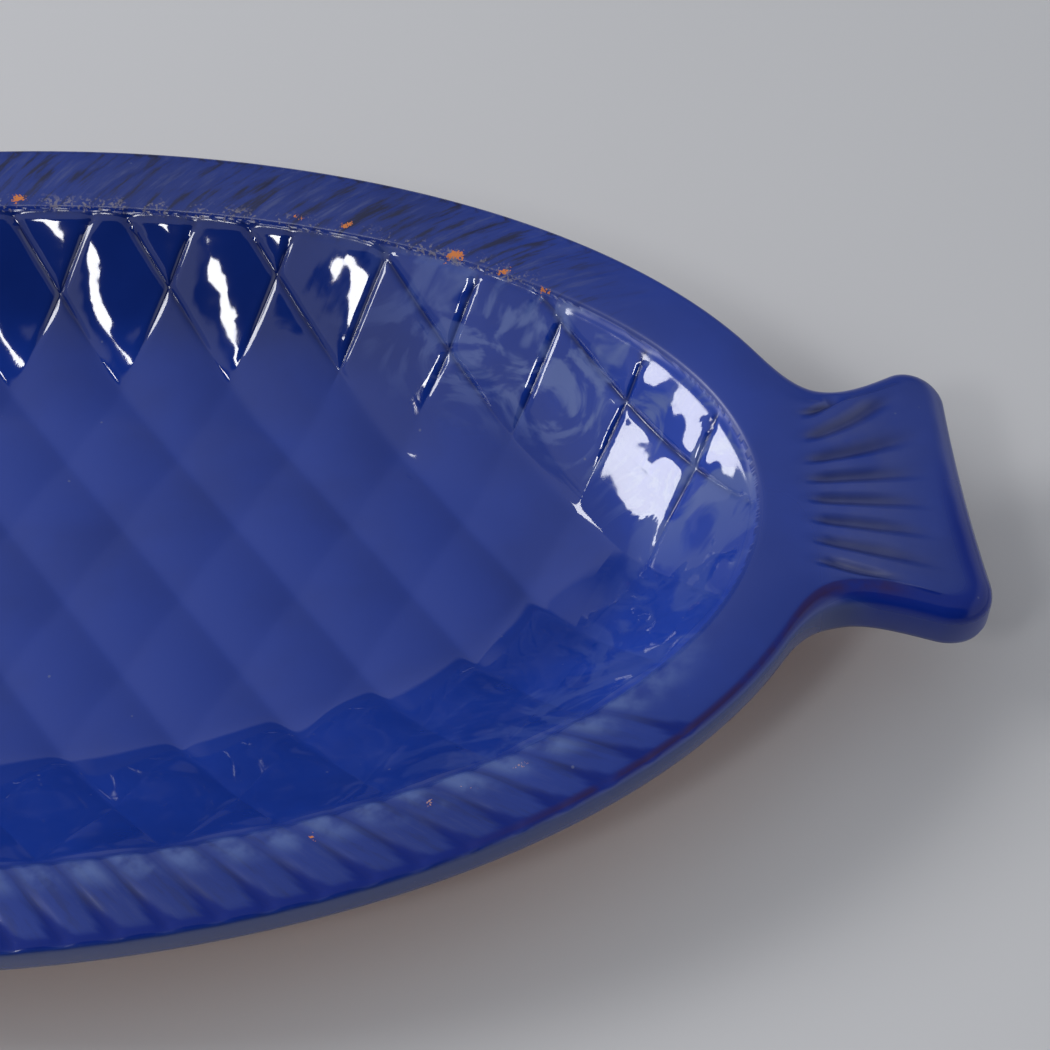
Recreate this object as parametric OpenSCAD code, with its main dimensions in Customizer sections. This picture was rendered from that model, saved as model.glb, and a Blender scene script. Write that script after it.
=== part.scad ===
// Fish shaped platter: an oval earthenware dish with scales inside, fins on the rim, a tail and a snout.
// +X runs along the fish to its tail, +Z is up, and the origin lies under the middle of the whole length.

/* [Oval dish] */
// Length of the oval over the rim, without tail and snout
body_l = 358; // [320:1:400]
// Width of the oval over the rim
body_w = 200; // [180:1:220]
// Width of the rim seen from above, at the sides
rim_w = 17.5; // [14:0.5:20]
// Width of the rim seen from above, at the two ends
rim_end_w = 15; // [13:0.5:20]
// Thickness of the rim at its outer edge
rim_t = 6.5; // [5:0.5:9]
// Rounding of the rim's outer edge, which grows with the thickness at the tail and the snout
rim_edge_r = 2; // [1:0.25:2.5]
// Swell of the rim's top between its two edges
rim_crown = 0.8; // [0:0.1:1.5]
// Depth of the dish below the rim
dish_depth = 28; // [22:1:34]
// Drop of the lip at the dish's edge, before the wall begins
lip_d = 1.2; // [0.6:0.1:2]
// Reach of the wall's curve, measured in from the rim
wall_reach = 58; // [50:1:66]
// Steepness of the wall at the rim against its mean slope
wall_shape = 1.9; // [1.6:0.1:2.2]
// Thickness of the wall under the rim
wall_t = 7; // [6:0.5:9]
// Thickness of the floor
floor_t = 7; // [6:0.5:10]

/* [Scales] */
// Length of one scale along the fish
scale_l = 24.5; // [20:0.5:32]
// Width of one scale across the fish
scale_w = 37; // [28:0.5:44]
// Slant of the rows that cross the fish, in degrees
scale_slant = 4; // [0:1:8]
// Place of one crossing of the scale lines along the fish, from the oval's middle
scale_start_x = -5.4; // [-12:0.2:12]
// Place of the same crossing across the fish, from the oval's middle
scale_start_y = -6; // [-12:0.2:12]
// Depth of the grooves between scales
groove_d = 1.4; // [0.6:0.1:2]
// Swell of each scale over its edges
pillow_h = 1; // [0:0.1:1.2]
// Distance from the oval's head end to the gill line, where the scales fade out
gill_x = 78; // [60:1:110]
// Radius of the gill line
gill_r = 90; // [75:1:140]

/* [Fins] */
// Number of fin rays along each side of the rim
fin_count = 31; // [24:1:36]
// Depth of the grooves between fin rays
fin_d = 0.8; // [0.4:0.1:2]
// Turn of each ray towards the tail, in degrees round the oval
fin_lean = 3.6; // [2:0.2:5]
// Place of the ray next to the tail, in degrees round the oval
fin_start = 34; // [30:1:45]

/* [Tail] */
// Reach of the tail past the oval's end
tail_reach = 28.5; // [22:0.5:40]
// Width of the tail over its two corners
tail_w = 62; // [54:1:72]
// Rounding of the tail's corners in plan
tail_corner_r = 8; // [4:0.5:10]
// Hollow of the tail's end between its two corners
tail_fork = 1.2; // [0:0.1:4]
// Lead of one corner of the tail over the other
tail_skew = 5; // [0:0.5:8]
// Thickness of the tail
tail_t = 12; // [9:0.5:15]
// Place where the tail springs from the oval, in degrees round it
tail_start = 22; // [19:1:25]
// Number of ray grooves on the tail
ray_count = 8; // [8:1:10]
// Depth of the ray grooves at the tail's root
ray_d = 1.6; // [0.8:0.1:2.2]

/* [Head] */
// Reach of the snout past the oval's end
snout_reach = 16; // [10:1:22]
// Width of the blunt nose
snout_w = 40; // [30:1:50]
// Thickness of the snout
snout_t = 10; // [8:0.5:13]
// Place where the snout springs from the oval, in degrees round it
snout_start = 27; // [24:1:29]
// Radius of the eye
eye_r = 5; // [4:0.25:6]
// Depth of the eye ring and the mouth
head_groove_d = 1.2; // [0.6:0.1:1.6]

/* [Glaze and foot] */
// Thickness of the glaze
glaze_t = 0.6; // [0.4:0.1:1]
// Height of the foot ring
foot_h = 3; // [2:0.5:6]
// Width of the foot ring's wall
foot_w = 7; // [5:0.5:10]
// Margin from the edge of the base in to the foot ring
foot_margin = 3; // [2:0.5:6]

/* [Hidden] */
rim_z = foot_h + floor_t + dish_depth;
body_a = body_l / 2;
body_b = body_w / 2;
cavity_a = body_a - rim_end_w;
cavity_b = body_b - rim_w;
// the base's edge lies under the wall, at this share of the wall's reach
base_share = 0.6;
base_a = cavity_a - base_share * wall_reach;
base_b = cavity_b - base_share * wall_reach;
tail_x = body_a + tail_reach;
nose_x = -body_a - snout_reach;
overrun = rim_t;
tiny = 1e-6;
// sides of the eye's ring and of the dish's edge
eye_sides = 20;
lip_sides = 90;

// Points along the outline
tail_end_steps = 2;
tail_corner_steps = 4;
tail_neck_steps = 6;
plain_steps = 3;
snout_steps = 6;
// Handles of the neck's curve, as shares of the tail's reach, and its fall behind the corner
neck_handle_shares = [0.55, 0.6];
corner_fall = -22;
// Handles of the snout's curve, as shares of its reach and of the nose's half width
snout_handle_shares = [1.1, 1];

// Point of an ellipse
function oval(a, b, angle) = [a * cos(angle), b * sin(angle)];
// Direction along an ellipse, towards growing angles
function oval_way(a, b, angle) = unit([-a * sin(angle), b * cos(angle)]);
function unit(v) = v / max(norm(v), tiny);
function curve(p, t) =
    pow(1 - t, 3) * p[0] + 3 * t * pow(1 - t, 2) * p[1] + 3 * t * t * (1 - t) * p[2] + pow(t, 3) * p[3];
function smooth(t) = let (u = max(0, min(1, t))) u * u * (3 - 2 * u);

// Outline over one side, from the middle of the tail's end to the nose. Each station holds the plan point,
// the angle of the dish's edge that it faces, the fin groove's share and the edge's thickness.
corner_c = [tail_x - tail_corner_r, tail_w / 2 - tail_corner_r];
corner_turn = 90 - corner_fall;
neck_end = oval(body_a, body_b, tail_start);
neck_from = corner_c + oval(tail_corner_r, tail_corner_r, corner_turn);
neck = [
    neck_from,
    neck_from + neck_handle_shares[0] * tail_reach * oval(1, 1, corner_turn + 90),
    neck_end - neck_handle_shares[1] * tail_reach * oval_way(body_a, body_b, tail_start),
    neck_end
];
snout_from = oval(body_a, body_b, 180 - snout_start);
snout = [
    snout_from,
    snout_from + snout_handle_shares[0] * snout_reach * oval_way(body_a, body_b, 180 - snout_start),
    [nose_x, snout_handle_shares[1] * snout_w / 2],
    [nose_x, 0]
];
tail_steps = tail_end_steps + tail_corner_steps + tail_neck_steps;
fin_end = 180 - fin_start;

// The rays lean towards the tail along the sides, and stand square at both ends
function lean(angle) =
    fin_lean * smooth((angle - tail_start) / (fin_start - tail_start))
    * smooth((180 - snout_start - angle) / (fin_start - snout_start));
function tail_angle(k) = tail_start * k / tail_steps;
// Rays stand evenly along the rim, so their angles lie closer together at the middle of each side
function fin_angle(share) = 90 + (90 - fin_start) * share * (1 - fin_crowd_share * (1 - share * share));
fin_crowd_share = 0.12;

side = concat(
    [for (k = [0 : tail_end_steps - 1])
        [[tail_x, corner_c[1] * k / tail_end_steps], tail_angle(k), 0, tail_t]],
    [for (k = [0 : tail_corner_steps - 1])
        [corner_c + oval(tail_corner_r, tail_corner_r, corner_turn * k / tail_corner_steps),
            tail_angle(tail_end_steps + k), 0, tail_t]],
    [for (k = [0 : tail_neck_steps - 1])
        let (t = k / tail_neck_steps)
        [curve(neck, t), tail_angle(tail_end_steps + tail_corner_steps + k), 0,
            tail_t + (rim_t - tail_t) * smooth(2 * t - 1)]],
    [for (k = [0 : plain_steps - 1])
        let (angle = tail_start + (fin_start - tail_start) * k / plain_steps)
        [oval(body_a, body_b, angle), angle + lean(angle), 0, rim_t]],
    [for (k = [0 : 2 * fin_count])
        let (angle = fin_angle(k / fin_count - 1))
        [oval(body_a, body_b, angle), angle + lean(angle), (k + 1) % 2, rim_t]],
    [for (k = [1 : plain_steps - 1])
        let (angle = fin_end + (fin_start - snout_start) * k / plain_steps)
        [oval(body_a, body_b, angle), angle + lean(angle), 0, rim_t]],
    [for (k = [0 : snout_steps])
        let (t = k / snout_steps)
        [curve(snout, t), 180 - snout_start + snout_start * t, 0,
            rim_t + (snout_t - rim_t) * smooth(t)]]
);
// The tail's end is hollowed between its corners, and one of them leads
function tail_end(p) =
    let (across = p[1] / tail_w, past = smooth((p[0] - body_a) / tail_reach))
    [p[0] - past * (tail_fork * (1 - 4 * across * across) + tail_skew * across), p[1]];
stations = concat(
    [for (s = side)
        [tail_end(s[0]), s[1], s[2], s[3]]],
    [for (k = [len(side) - 2 : -1 : 1])
        let (s = side[k])
        [tail_end([s[0][0], -s[0][1]]), -s[1], s[2], s[3]]]
);
// The oval's middle is set back, so that the whole length is centred on the origin
outline_x = [for (s = stations) s[0][0]];
oval_x = -(max(outline_x) + min(outline_x)) / 2;
// Direction square to the outline at a station, away from the dish
function outward(k) =
    let (n = len(stations), way = stations[(k + 1) % n][0] - stations[(k + n - 1) % n][0])
    unit([way[1], -way[0]]);

// Places on one station's section, from inside the dish over the rim to the base, with their heights.
// grow is the thickness of the coat on the top and the edge.
function section(k, grow) =
    let (
        s = stations[k],
        p = s[0],
        q = oval(cavity_a, cavity_b, s[1]),
        out = outward(k),
        along = unit(p - q),
        cut = fin_d * s[2],
        under = rim_z - s[3],
        edge_r = rim_edge_r * s[3] / rim_t,
        skin = oval(cavity_a + wall_t, cavity_b + wall_t, s[1])
    )
    [
        up(q - rim_edge_r * along, rim_z + grow - cut * inner_cut_share),
        up(p - rim_w / 2 * unit(2 * along + out), rim_z + rim_crown + grow - cut),
        up(p - edge_r * out, rim_z + grow - cut * outer_cut_share),
        up(p + grow * out, rim_z - edge_r),
        up(p + (grow - rim_edge_r / 2) * out, under - grow),
        up(skin, under - rim_edge_r),
        up(oval(base_a, base_b, s[1]), foot_h)
    ];
inner_cut_share = 0.5;
outer_cut_share = 0.9;
function up(p, z) = [p[0], p[1], z];

// Solid platter with a flat top where the dish will be
module blank(grow) {
    n = len(stations);
    sections = [for (k = [0 : n - 1]) section(k, grow)];
    rows = len(sections[0]);
    points = [for (r = [0 : rows - 1]) for (s = sections) s[r]];
    bands = [for (r = [0 : rows - 2]) for (k = [0 : n - 1])
        let (a = r * n + k, b = r * n + (k + 1) % n)
        each [[a, b, a + n], [b, b + n, a + n]]];
    lid = [for (k = [0 : n - 1]) [rows * n, (k + 1) % n, k]];
    base = [for (k = [0 : n - 1]) (rows - 1) * n + k];
    polyhedron(concat(points, [[0, 0, rim_z + grow]]), concat([base], lid, bands));
}

// Distance in from the dish's edge, in shares of the wall's reach
function inward(p) =
    let (
        f = 1 - pow(p[0] / cavity_a, 2) - pow(p[1] / cavity_b, 2),
        slope = 2 * norm([p[0] / pow(cavity_a, 2), p[1] / pow(cavity_b, 2)])
    )
    f / max(slope, tiny) / wall_reach;
// Depth of the smooth dish below the rim, which turns negative past the dish's edge
function dish(p) =
    let (t = inward(p))
    lip_d + (dish_depth - lip_d) * (t < 0 ? wall_shape * t : 1 - pow(1 - min(1, t), wall_shape));
// Line that the scales stop at, seen from above
function gill_at(y) = gill_x - body_a - gill_r + sqrt(max(0, gill_r * gill_r - y * y));

// The scales are diamonds between two families of straight lines, seen from above. Corner m, n lies where
// two lines cross, and the diamond of that number is the one on its tail side.
scale_start = [scale_start_x, scale_start_y];
row_step = [scale_l / 2, 0];
cross_step = scale_w / 2 * [-tan(scale_slant), 1];
spare_rows = 2;
span = ceil(norm([cavity_a / scale_l, cavity_b / scale_w]) + spare_rows);
function corner(m, n) = scale_start + (m + n) * row_step + (m - n) * cross_step;
function middle(m, n) = corner(m, n) + row_step;
// Relief of the scales, which rises from nothing at the gill line, is full on the wall and fades on the floor
function relief(p) =
    smooth((p[0] - gill_at(p[1])) / scale_l)
    * (floor_relief_share + (1 - floor_relief_share) * smooth((fade_end_share - inward(p)) / fade_share));
floor_relief_share = 0.25;
fade_end_share = 0.59;
fade_share = 0.31;

// Space inside the dish, with the scales on its underside
module dish_space(grow) {
    size = 2 * span + 1;
    cells = [for (m = [-span : span - 1]) for (n = [-span : span - 1]) [m, n]];
    corners = [for (m = [-span : span]) for (n = [-span : span])
        let (p = corner(m, n))
        lay(p, groove_d * relief(p), grow)];
    // inside each diamond, four places next to its corners and one in the middle
    insides = [for (c = cells)
        let (p = middle(c[0], c[1]))
        each [
            swell(p - pillow_share * row_step, shoulder_share, grow),
            swell(p - pillow_share * cross_step, shoulder_share, grow),
            swell(p + pillow_share * row_step, shoulder_share, grow),
            swell(p + pillow_share * cross_step, shoulder_share, grow),
            swell(p, 1, grow)
        ]];
    last = size - 1;
    around = concat(
        [for (n = [0 : last - 1]) n],
        [for (m = [0 : last - 1]) m * size + last],
        [for (n = [last : -1 : 1]) last * size + n],
        [for (m = [last : -1 : 1]) m * size]
    );
    lid = [for (k = around) [corners[k][0], corners[k][1], rim_z + clear + overrun]];
    inside_at = len(corners);
    lid_at = inside_at + len(insides);
    // on the floor, where the scales are faint, each one is a plain low pyramid
    faces = [for (k = [0 : len(cells) - 1])
        let (
            faint = relief(middle(cells[k][0], cells[k][1])) < faint_share,
            c = (cells[k][0] + span) * size + cells[k][1] + span,
            ring = [c, c + 1, c + size + 1, c + size],
            i = inside_at + 5 * k
        )
        for (j = [0 : 3])
            let (h = (j + 1) % 4)
            each faint
                ? [[ring[j], ring[h], i + 4]]
                : [[ring[j], ring[h], i + h], [ring[j], i + h, i + j], [i + j, i + h, i + 4]]];
    count = len(around);
    walls = [for (k = [0 : count - 1])
        let (h = (k + 1) % count)
        each [[around[k], lid_at + k, around[h]], [around[h], lid_at + k, lid_at + h]]];
    polyhedron(
        concat(corners, insides, lid),
        concat(faces, walls, [[for (k = [count - 1 : -1 : 0]) lid_at + k]])
    );
}
// Funnel through the dish's edge, which keeps that edge an even oval above the scales
module lip_space(grow) {
    deep = dish_depth + groove_d;
    top = [cavity_a, cavity_b] + (lip_lean_share * overrun - grow) * [1, 1];
    low = [cavity_a, cavity_b] - (lip_lean_share * deep + grow) * [1, 1];
    translate([0, 0, rim_z - deep])
        linear_extrude(height = deep + overrun, scale = [top[0] / low[0], top[1] / low[1]], slices = 1)
            polygon([for (k = [0 : lip_sides - 1]) oval(low[0], low[1], 360 * k / lip_sides)]);
}
// Widening of the funnel against its height
lip_lean_share = 0.4;

// Place on the dish, sunk by a depth, which rises clear of the rim past the dish's edge
function lay(p, sink, grow) = up(p, grow + rim_z - max(-clear, dish(p) + sink));
clear = scale_l + scale_w;
function swell(p, share, grow) = lay(p, -share * pillow_h * relief(p), grow);
// Size of a scale's raised part against the whole scale, and its height at the shoulders against the middle
pillow_share = 0.68;
shoulder_share = 0.5;
faint_share = 0.26;

// Groove between two places, cut by a square point that sinks by a depth at each. A coat lifts the groove.
module groove(from, to, reach, from_d, to_d, grow) {
    hull() {
        translate(from + [0, 0, coat_lift * grow - from_d])
            cylinder(h = reach, r1 = 0, r2 = tool_flare * reach, $fn = 4);
        translate(to + [0, 0, coat_lift * grow - to_d])
            cylinder(h = reach, r1 = 0, r2 = tool_flare * reach, $fn = 4);
    }
}
// Half width of a groove against its depth, and the rise of its coat against the coat's thickness
tool_flare = 1.3;
coat_lift = norm([1, tool_flare]) / tool_flare;

// Rays that fan out over the tail
module tail_rays(grow) {
    root_x = body_a - ray_d;
    for (k = [0 : ray_count - 1]) {
        share = 2 * (k + 0.5) / ray_count - 1;
        groove(
            [root_x, share * root_spread_share * tail_w / 2, rim_z],
            [tail_x - rim_w / 2, share * tip_spread_share * tail_w / 2, rim_z],
            overrun,
            ray_d,
            0,
            grow
        );
    }
}
root_spread_share = 0.62;
tip_spread_share = 0.86;

// Mouth and eye on the snout
module face(grow) {
    land_x = -(cavity_a + body_a + snout_reach) / 2;
    groove(
        [nose_x - overrun, -eye_r / 2, rim_z],
        [land_x, -2 * eye_r, rim_z],
        overrun,
        head_groove_d,
        head_groove_d,
        grow
    );
    half = tool_flare * overrun / 2;
    translate([land_x, eye_r, rim_z + rim_crown + coat_lift * grow - head_groove_d])
        rotate_extrude($fn = eye_sides)
            polygon([[eye_r, 0], [eye_r + half, overrun / 2], [eye_r - half, overrun / 2]]);
}

// Platter with its hollow and its cut lines
module fish(grow) {
    translate([oval_x, 0, 0])
        difference() {
            blank(grow);
            intersection() {
                dish_space(grow);
                lip_space(grow);
            }
            tail_rays(grow);
            face(grow);
        }
}

// Fired earthenware body, bare on the outside
module clay_body() {
    color("chocolate")
        fish(0);
}

// Cobalt glaze over the inside and the rim, which thins out under the rim's edge
module glaze_coat() {
    color("royalblue")
        difference() {
            fish(glaze_t);
            fish(0);
        }
}

// Strip of clay set on edge under the base, bare where it meets the table
module foot_ring() {
    a = base_a - foot_margin;
    b = base_b - foot_margin;
    color("sienna")
        translate([oval_x, 0, 0])
            linear_extrude(height = foot_h)
                difference() {
                    polygon([for (k = [0 : 6 : 354]) oval(a, b, k)]);
                    polygon([for (k = [0 : 6 : 354]) oval(a - foot_w, b - foot_w, k)]);
                }
}

clay_body();
glaze_coat();
foot_ring();
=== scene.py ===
import bmesh
import bpy
import math
import numpy as np
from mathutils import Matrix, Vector
from mathutils.geometry import delaunay_2d_cdt

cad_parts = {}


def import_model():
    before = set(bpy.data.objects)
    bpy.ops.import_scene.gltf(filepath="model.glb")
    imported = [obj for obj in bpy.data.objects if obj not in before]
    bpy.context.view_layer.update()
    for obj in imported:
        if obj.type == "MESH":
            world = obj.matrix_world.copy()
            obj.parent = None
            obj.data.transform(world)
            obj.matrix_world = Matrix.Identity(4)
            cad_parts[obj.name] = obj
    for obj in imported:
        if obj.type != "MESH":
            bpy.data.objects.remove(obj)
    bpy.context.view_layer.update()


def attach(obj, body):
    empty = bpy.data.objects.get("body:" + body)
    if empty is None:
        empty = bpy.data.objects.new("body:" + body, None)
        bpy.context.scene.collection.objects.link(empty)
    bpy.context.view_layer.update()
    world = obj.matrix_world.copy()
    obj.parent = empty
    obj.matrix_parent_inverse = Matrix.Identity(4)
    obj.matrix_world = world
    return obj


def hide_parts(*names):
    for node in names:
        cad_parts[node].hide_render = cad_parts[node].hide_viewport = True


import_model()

# Clay body
# Red earthenware pressed in a mould and fired once. The oval dish, its flat rim, the tail and the snout are one
# piece of clay, left bare on the outside, where the fine grit of the body and the kiln's darker patches show.
mm = 0.001
oval_x = -6.908  # the oval's middle along the fish; this and all other sizes in mm
body_a, body_b = 179.0, 100.0  # half length and half width of the oval over its rim
dish_a, dish_b = 164.0, 82.5  # the same of the dish's edge
dish_depth, lip_d = 28.0, 1.2
wall_reach, wall_shape = 58.0, 1.9  # the wall's curve inside: how far in it runs, and how steep it starts
wall_out, wall_drop, wall_bend, wall_steps = 7.0, 2.0, 1.25, 14  # the wall's outside
rim_z, rim_t = 38.0, 6.5
tail_x, tail_w, tail_t, tail_corner_r, tail_start = 207.4, 62.0, 12.0, 8.0, 22.0
tail_fork, tail_skew = 1.2, 5.0
nose_x, snout_w, snout_t, snout_start = -194.98, 40.0, 10.0, 27.0
fin_count, fin_start, fin_lean, fin_crowd = 31, 34.0, 3.4, 0.12
near_shift, near_pitch = 0.27, 0.933  # the near side's fins are set off against the far side's, and a little wider
base_a, base_b, foot_h = 129.2, 47.7, 3.0
edge_in, ledge_in, skin_d = 3.0, 6.0, 4.0  # the clay's edge and ledge set in under the rim, its inside below the glaze


def oval(a, b, deg):
    t = np.radians(deg)
    return np.stack([a * np.cos(t), b * np.sin(t)], -1)


def ease(t):
    t = np.clip(t, 0.0, 1.0)
    return t * t * (3.0 - 2.0 * t)


def curve(p, t):
    t = np.asarray(t)[:, None]
    return (1 - t) ** 3 * p[0] + 3 * t * (1 - t) ** 2 * p[1] + 3 * t * t * (1 - t) * p[2] + t ** 3 * p[3]


def unit(v):
    return v / np.maximum(np.linalg.norm(v, axis=-1, keepdims=True), 1e-9)


# Stations round the outline: plan point, angle of the dish's edge that it faces, edge thickness, fin phase and mask
corner_c = np.array([tail_x - tail_corner_r, tail_w / 2 - tail_corner_r])
corner_turn, neck_out, neck_in, snout_out = 112.0, 15.0, 17.0, 17.6
# points along the tail's end, its corner and neck, the plain rim, the fins, the snout and the rim before it
ends, turns, necks, plains, fins, heads, lasts = 44, 16, 36, 14, 9 * fin_count, 34, 8
k = np.arange(ends) / ends
p_end = np.stack([np.full(ends, tail_x), corner_c[1] * k], -1)
k = np.arange(turns) / turns
p_turn = corner_c + oval(tail_corner_r, tail_corner_r, corner_turn * k)
neck_from = corner_c + oval(tail_corner_r, tail_corner_r, np.array(corner_turn))
neck_to = oval(body_a, body_b, np.array(tail_start))
way_out = oval(1, 1, np.array(corner_turn + 90))
rad = math.radians(tail_start)
way_in = unit(np.array([-body_a * math.sin(rad), body_b * math.cos(rad)]))
k_neck = np.arange(necks) / necks
p_neck = curve([neck_from, neck_from + neck_out * way_out, neck_to - neck_in * way_in, neck_to], k_neck)
tail_points = ends + turns + necks
a_tail = tail_start * (np.arange(tail_points) / tail_points) ** 2


def lean(a):
    from_tail = ease((a - tail_start) / (fin_start - tail_start))
    from_snout = ease((180 - snout_start - a) / (fin_start - snout_start))
    return fin_lean * from_tail * from_snout


a_plain = tail_start + (fin_start - tail_start) * np.arange(plains) / plains
share = np.arange(fins + 1) / fins * 2 - 1
a_fin = 90 + (90 - fin_start) * share * (1 - fin_crowd * (1 - share * share))
a_last = 180 - fin_start + (fin_start - snout_start) * np.arange(1, lasts) / lasts
rad = math.radians(180 - snout_start)
snout_from = oval(body_a, body_b, np.array(180 - snout_start))
snout_way = unit(np.array([-body_a * math.sin(rad), body_b * math.cos(rad)]))
k_head = np.arange(heads + 1) / heads
nose_side, nose = np.array([nose_x, snout_w / 2]), np.array([nose_x, 0.0])
p_head = curve([snout_from, snout_from + snout_out * snout_way, nose_side, nose], k_head)
a_body = np.concatenate([a_plain, a_fin, a_last])
side_p = np.concatenate([p_end, p_turn, p_neck, oval(body_a, body_b, a_body), p_head])
side_a = np.concatenate([a_tail, a_body + lean(a_body), 180 - snout_start * (1 - k_head)])
side_t = np.concatenate([
    np.full(ends + turns, tail_t), tail_t + (rim_t - tail_t) * ease(2 * k_neck - 1),
    np.full(len(a_body), rim_t), rim_t + (snout_t - rim_t) * ease(k_head)])
fin_phase = np.zeros(len(side_p))
fin_mask = np.zeros(len(side_p))
first = tail_points + plains
fin_phase[first:first + fins + 1] = (share + 1) * fin_count / 2
fin_mask[first:first + fins + 1] = 1.0
back = slice(len(side_p) - 2, 0, -1)
plan = np.concatenate([side_p, side_p[back] * [1, -1]])
past = ease((plan[:, 0] - body_a) / (tail_x - body_a))
part = plan[:, 1] / tail_w
plan[:, 0] -= past * (tail_fork * (1 - 4 * part * part) + tail_skew * part)
face_a = np.concatenate([side_a, -side_a[back]])
edge_t = np.concatenate([side_t, side_t[back]])
fin_phase = np.concatenate([fin_phase, (fin_phase[back] - near_shift) / near_pitch])
fin_mask = np.concatenate([fin_mask, fin_mask[back]])
stations = len(plan)
chord = np.roll(plan, -1, 0) - np.roll(plan, 1, 0)
outward = unit(np.stack([chord[:, 1], -chord[:, 0]], -1))
dish_edge = oval(dish_a, dish_b, face_a)
dish_out = unit(oval(dish_b, dish_a, face_a))


def edge_distance(p):
    f = 1 - (p[..., 0] / dish_a) ** 2 - (p[..., 1] / dish_b) ** 2
    s = 2 * np.hypot(p[..., 0] / dish_a ** 2, p[..., 1] / dish_b ** 2)
    return f / np.maximum(s, 1e-6)


def dish(p, soft):
    # depth of the dish below the rim: a lip, then the wall, both rounded over the length soft
    t = edge_distance(p)
    lip = lip_d * ease(t / (2 * soft) + 0.5)
    t = 0.5 * (t + np.sqrt(t * t + soft * soft))
    return lip + (dish_depth - lip_d) * (1 - (1 - np.minimum(1, t / wall_reach)) ** wall_shape)


# outside: from under the rim's edge down the wall to the base; inside: a plain skin under the glaze
skip = 3
ids = np.arange(0, stations, skip)
n = len(ids)
wall_edge = oval(dish_a + wall_out, dish_b + wall_out, face_a[ids])
under_z = rim_z - edge_t[ids]
edge_xy = plan[ids] - edge_in * outward[ids]
ledge_xy = plan[ids] - ledge_in * outward[ids]
low = oval(base_a, base_b, face_a[ids])
rings = [np.c_[edge_xy, under_z]]
for part_in, drop in ((0.35, 0.2), (0.75, 0.9)):
    rings.append(np.c_[ledge_xy + part_in * (wall_edge - ledge_xy), under_z - drop])
for t in np.linspace(0, 1, wall_steps):
    bend = 1.0 - (1.0 - t) ** wall_bend
    z = (under_z - wall_drop) + (foot_h - under_z + wall_drop) * bend
    rings.append(np.c_[wall_edge + (low - wall_edge) * t, z])
rings.append(np.c_[low * 0.9, np.full(n, foot_h)])
top = [np.c_[edge_xy, np.full(n, rim_z - 1.5)]]
for t in (-2.0, 6.0, 14.0, 24.0, 36.0, 50.0):
    xy = dish_edge[ids] - t * dish_out[ids]
    top.append(np.c_[xy, rim_z - skin_d - np.maximum(0, dish(xy, 3.0))])
top.append(np.c_[dish_edge[ids] * 0.2, np.full(n, rim_z - dish_depth - skin_d)])
loops = top[::-1] + rings
verts = np.concatenate(loops)
verts[:, 0] += oval_x
faces = []
for r in range(len(loops) - 1):
    for j in range(n):
        a, b = r * n + j, r * n + (j + 1) % n
        faces.append((a, a + n, b + n, b))
faces.append(tuple(range(n)))
faces.append(tuple((len(loops) - 1) * n + j for j in range(n - 1, -1, -1)))
mesh = bpy.data.meshes.new("clay_dish")
mesh.from_pydata((verts * mm).tolist(), [], faces)
mesh.shade_smooth()
clay = bpy.data.objects.new("clay_dish", mesh)
bpy.context.collection.objects.link(clay)

# fired grain, for the clay of the body and of the foot
grain = bpy.data.node_groups.new("fired_grain", "ShaderNodeTree")
for name, kind in (("Vector", "NodeSocketVector"), ("Dark", "NodeSocketColor"), ("Pale", "NodeSocketColor")):
    grain.interface.new_socket(name, in_out="INPUT", socket_type=kind)
for name, kind in (("Color", "NodeSocketColor"), ("Height", "NodeSocketFloat")):
    grain.interface.new_socket(name, in_out="OUTPUT", socket_type=kind)
gin = grain.nodes.new("NodeGroupInput")
gout = grain.nodes.new("NodeGroupOutput")
grit = grain.nodes.new("ShaderNodeTexNoise")
grit.inputs["Scale"].default_value = 900
grit.inputs["Detail"].default_value = 4
patch = grain.nodes.new("ShaderNodeTexNoise")
patch.inputs["Scale"].default_value = 22
patch.inputs["Detail"].default_value = 5
level = grain.nodes.new("ShaderNodeMapRange")
level.inputs["From Min"].default_value = 0.3
level.inputs["From Max"].default_value = 0.72
tone = grain.nodes.new("ShaderNodeMix")
tone.data_type = "RGBA"
speck = grain.nodes.new("ShaderNodeMix")
speck.data_type = "RGBA"
speck.blend_type = "MULTIPLY"
speck.inputs["Factor"].default_value = 0.35
for out, into in (
        (gin.outputs["Vector"], grit.inputs["Vector"]), (gin.outputs["Vector"], patch.inputs["Vector"]),
        (patch.outputs["Fac"], level.inputs["Value"]), (level.outputs["Result"], tone.inputs["Factor"]),
        (gin.outputs["Dark"], tone.inputs["A"]), (gin.outputs["Pale"], tone.inputs["B"]),
        (tone.outputs["Result"], speck.inputs["A"]), (grit.outputs["Color"], speck.inputs["B"]),
        (speck.outputs["Result"], gout.inputs["Color"]), (grit.outputs["Fac"], gout.inputs["Height"])):
    grain.links.new(out, into)


def fired(name, dark, pale, roughness):
    material = bpy.data.materials.new(name)
    material.use_nodes = True
    nodes, links = material.node_tree.nodes, material.node_tree.links
    shader, look = nodes["Principled BSDF"], nodes.new("ShaderNodeGroup")
    look.node_tree = grain
    look.inputs["Dark"].default_value = dark
    look.inputs["Pale"].default_value = pale
    links.new(nodes.new("ShaderNodeTexCoord").outputs["Object"], look.inputs["Vector"])
    links.new(look.outputs["Color"], shader.inputs["Base Color"])
    bump = nodes.new("ShaderNodeBump")
    bump.inputs["Strength"].default_value = 0.35
    bump.inputs["Distance"].default_value = 0.0006
    links.new(look.outputs["Height"], bump.inputs["Height"])
    links.new(bump.outputs["Normal"], shader.inputs["Normal"])
    shader.inputs["Roughness"].default_value = roughness
    return material


mesh.materials.append(fired("terracotta", (0.46, 0.16, 0.060, 1), (0.74, 0.30, 0.125, 1), 0.85))
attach(clay, "root")
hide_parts("clay_body")

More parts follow.
